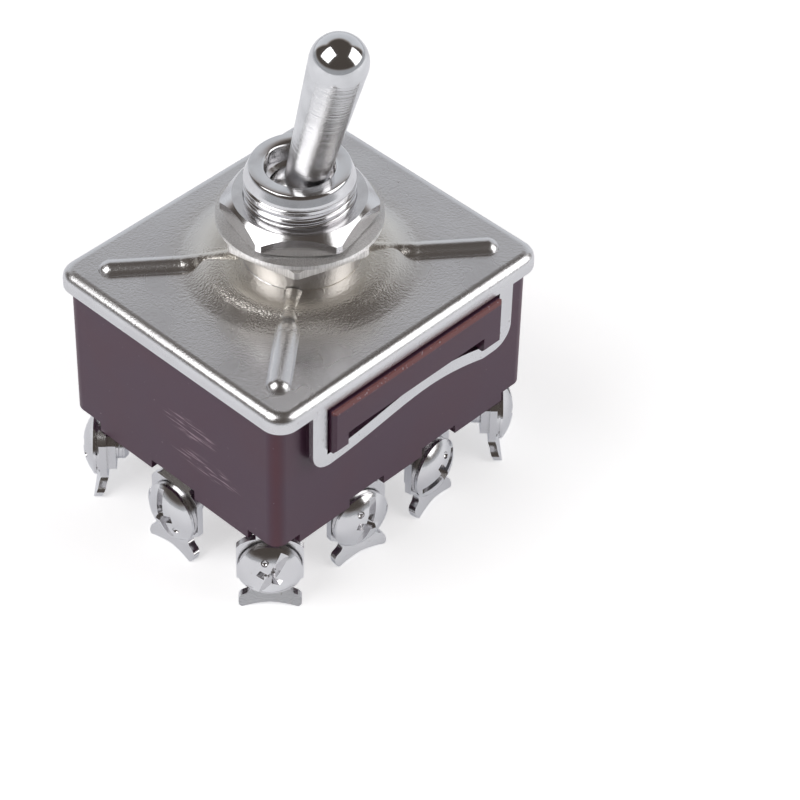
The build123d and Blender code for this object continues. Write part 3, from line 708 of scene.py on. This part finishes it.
# %% Places of the screws
screw_z = cover_top - 24.75
corner_terminal_x = 17.6
corner_terminal_y = 13.3
inner_terminal_x = 5.65
inner_terminal_y = 14.5
end_terminal_x = 18.85
fan = radians(9)
back_of_nut = 1.35
screw_places = []
for sx in (-1, 1):
    for sy in (-1, 1):
        screw_places.append((sx * corner_terminal_x, sy * corner_terminal_y, atan2(sy, sx)))
        facing = sy * radians(90) - sx * sy * fan
        screw_places.append((sx * inner_terminal_x, sy * inner_terminal_y, facing))
    for along in (end_terminal_x, inner_terminal_x):
        screw_places.append((sx * along, 0.0, 0.0 if sx > 0 else pi))
spots = bpy.data.meshes.new("screw_spots")
spot_points = []
for sx, sy, facing in screw_places:
    end_x = sx - back_of_nut * cos(facing)
    end_y = sy - back_of_nut * sin(facing)
    spot_points.append((end_x * MM, end_y * MM, screw_z * MM))
spots.from_pydata(spot_points, [], [])
turn_of = spots.attributes.new("facing", "FLOAT_VECTOR", "POINT")
for item, (sx, sy, facing) in zip(turn_of.data, screw_places):
    item.vector = (0.0, -pi / 2, facing)
print("screws", len(spot_points))

# %% Thread of the screw ends
coil_steps = 32
wire_sides = 6
ends = Growth("screw_thread", pitch=0.42 * MM, inside=1.70 * MM, wire=0.10 * MM, length=0.95 * MM)
length = ends.given("length")
inside = ends.given("inside")
rounds = length / ends.given("pitch")
spiral = ends.node("GeometryNodeCurveSpiral", {}, coil_steps, rounds, inside, inside, length, False)
ring = {"mode": "RADIUS"}
wire_r = ends.given("wire")
wire = ends.node("GeometryNodeCurvePrimitiveCircle", ring, Resolution=wire_sides, Radius=wire_r)
coil = ends.node("GeometryNodeCurveToMesh", {}, spiral, wire, at=(("Fill Caps", True),))
facing_of = ends.node("GeometryNodeInputNamedAttribute", {"data_type": "FLOAT_VECTOR"}, "facing")
points = ends.given("Geometry")
laid = ends.node("GeometryNodeInstanceOnPoints", {}, points, Instance=coil, Rotation=facing_of)
ends.end(laid, screw_finish)
screw_threads = ends.grow("screw_threads", spots)
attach(screw_threads, "base")
print("screw thread faces", len(screw_threads.data.polygons))

# %% [markdown]
# ## Studio
# Bright metal shows its surroundings, so the room matters as much as the lamps. Two
# soft boxes stand left and right of the camera, a white sweep rises behind the object,
# a pale table reaches to the horizon and the rest of the room is dark. The world draws
# the room by direction, and gives the camera itself plain white.

# %% Floor and lamps
lamp_distance = 0.55
lamp_size = 0.42
lamp_aim_z = 0.03
left_power = 1.5
right_power = 1.12
left_box = (-0.615, 0.238, 0.750)
right_box = (0.525, -0.682, 0.511)
floor_length = 3.0
floor_width = 1.6
floor_centre = (0.38, 0.36, 0)


def plane(name, length, width, centre, angle):
    """Flat sheet that lies level, turned about the vertical."""
    x, y = length / 2, width / 2
    mesh = bpy.data.meshes.new(name)
    mesh.from_pydata([(-x, -y, 0), (x, -y, 0), (x, y, 0), (-x, y, 0)], [], [(0, 1, 2, 3)])
    mesh.transform(Matrix.Translation(centre) @ Matrix.Rotation(angle, 4, "Z"))
    sheet = bpy.data.objects.new(name, mesh)
    bpy.context.scene.collection.objects.link(sheet)
    return sheet


def soft_box(name, direction, power):
    """Square soft lamp that looks at the switch from the given direction."""
    data = bpy.data.lights.new(name, "AREA")
    data.size = lamp_size
    data.energy = power
    light = bpy.data.objects.new(name, data)
    aim = Vector(direction).normalized()
    place = Vector((0, 0, lamp_aim_z)) + aim * lamp_distance
    facing_switch = aim.to_track_quat("Z", "Y").to_matrix().to_4x4()
    light.matrix_world = Matrix.Translation(place) @ facing_switch
    bpy.context.scene.collection.objects.link(light)


soft_box("left_soft_box", left_box, left_power)
soft_box("right_soft_box", right_box, right_power)
floor = plane("floor", floor_length, floor_width, floor_centre, view_azimuth)
print("soft boxes", lamp_size, "m wide,", lamp_distance, "m away")

# %% [markdown]
# The lamps alone leave the floor grey. A Light Path node tells who looks: the camera
# sees the floor lifted to white, bright metal sees it lifted less and a little cooler,
# and light that bounces on isn't changed by it.

# %% Floor finish
floor_white = (0.90, 0.90, 0.91)
seen_lift = (0.56, 0.56, 0.56)
mirror_lift = (0.25, 0.265, 0.29)
floor_finish = Finish("pale_floor")
straight = floor_finish.node("ShaderNodeLightPath", {}, out="Is Camera Ray")
mirrored = floor_finish.node("ShaderNodeLightPath", {}, out="Is Glossy Ray")
passed = floor_finish.node("ShaderNodeLightPath", {}, out="Is Transmission Ray")
lift = floor_finish.mix(straight, (0.0, 0.0, 0.0), seen_lift)
lift = floor_finish.mix(mirrored.most(passed), lift, mirror_lift)
floor_finish.wear(Base_Color=floor_white, Roughness=0.9, Emission_Color=lift, Emission_Strength=1.0)
floor.data.materials.append(floor_finish.material)
print("made", floor_finish.material.name)

# %% [markdown]
# The room is painted by direction alone, with no picture. Height and the angle from
# the camera's line of sight mark out the sweep and the table. The sweep gets dimmer
# with height, as a paper roll does under lamps that stand low.

# %% World
room_level = 0.08
room_tint = (1.0, 0.85, 0.75)
sweep_tint = (0.925, 0.955, 1.0)
sweep_foot = 0.80
sweep_fall = 0.25
table_level = 0.42
sweep_top = (0.62, 0.80)
sweep_side = (-0.1, 0.25)
sweep_widening = 1.3
table_edge = (0.06, 0.20)
world = bpy.data.worlds.new("studio")
world.use_nodes = True
bpy.context.scene.world = world
sky = Graph(world.node_tree)
away = sky.node("ShaderNodeTexCoord", {}, out="Generated")
height = sky.split(away)[2]
far_x, far_y = -sin(view_azimuth), cos(view_azimuth)
dot = {"operation": "DOT_PRODUCT"}
ahead = sky.node("ShaderNodeVectorMath", dot, away, (far_x, far_y, 0.0), out="Value")
aside = sky.node("ShaderNodeVectorMath", dot, away, (far_y, -far_x, 0.0), out="Value")
spread = aside.size() - ahead * sweep_widening
sweep = (1 - height.step(*sweep_top)) * (1 - spread.step(*sweep_side))
straight = sky.node("ShaderNodeLightPath", {}, out="Is Camera Ray")
paper = sweep_foot - sweep_fall * height.most(0.0)
table = 1 - height.step(*table_edge)
room = room_level + table * (table_level - room_level)
glow = room + sweep * (paper - room)
level = straight + (1 - straight) * glow
tint = sky.mix(sweep.most(table), room_tint, sweep_tint)
tint = sky.mix(straight, tint, (1.0, 1.0, 1.0))
background = world.node_tree.nodes["Background"]
sky.feed(background.inputs["Strength"], level)
sky.feed(background.inputs["Color"], tint)
print("room", room_level, "table", table_level, "foot of the sweep", sweep_foot)

# %% Picture settings
bpy.context.scene.view_settings.view_transform = "Standard"
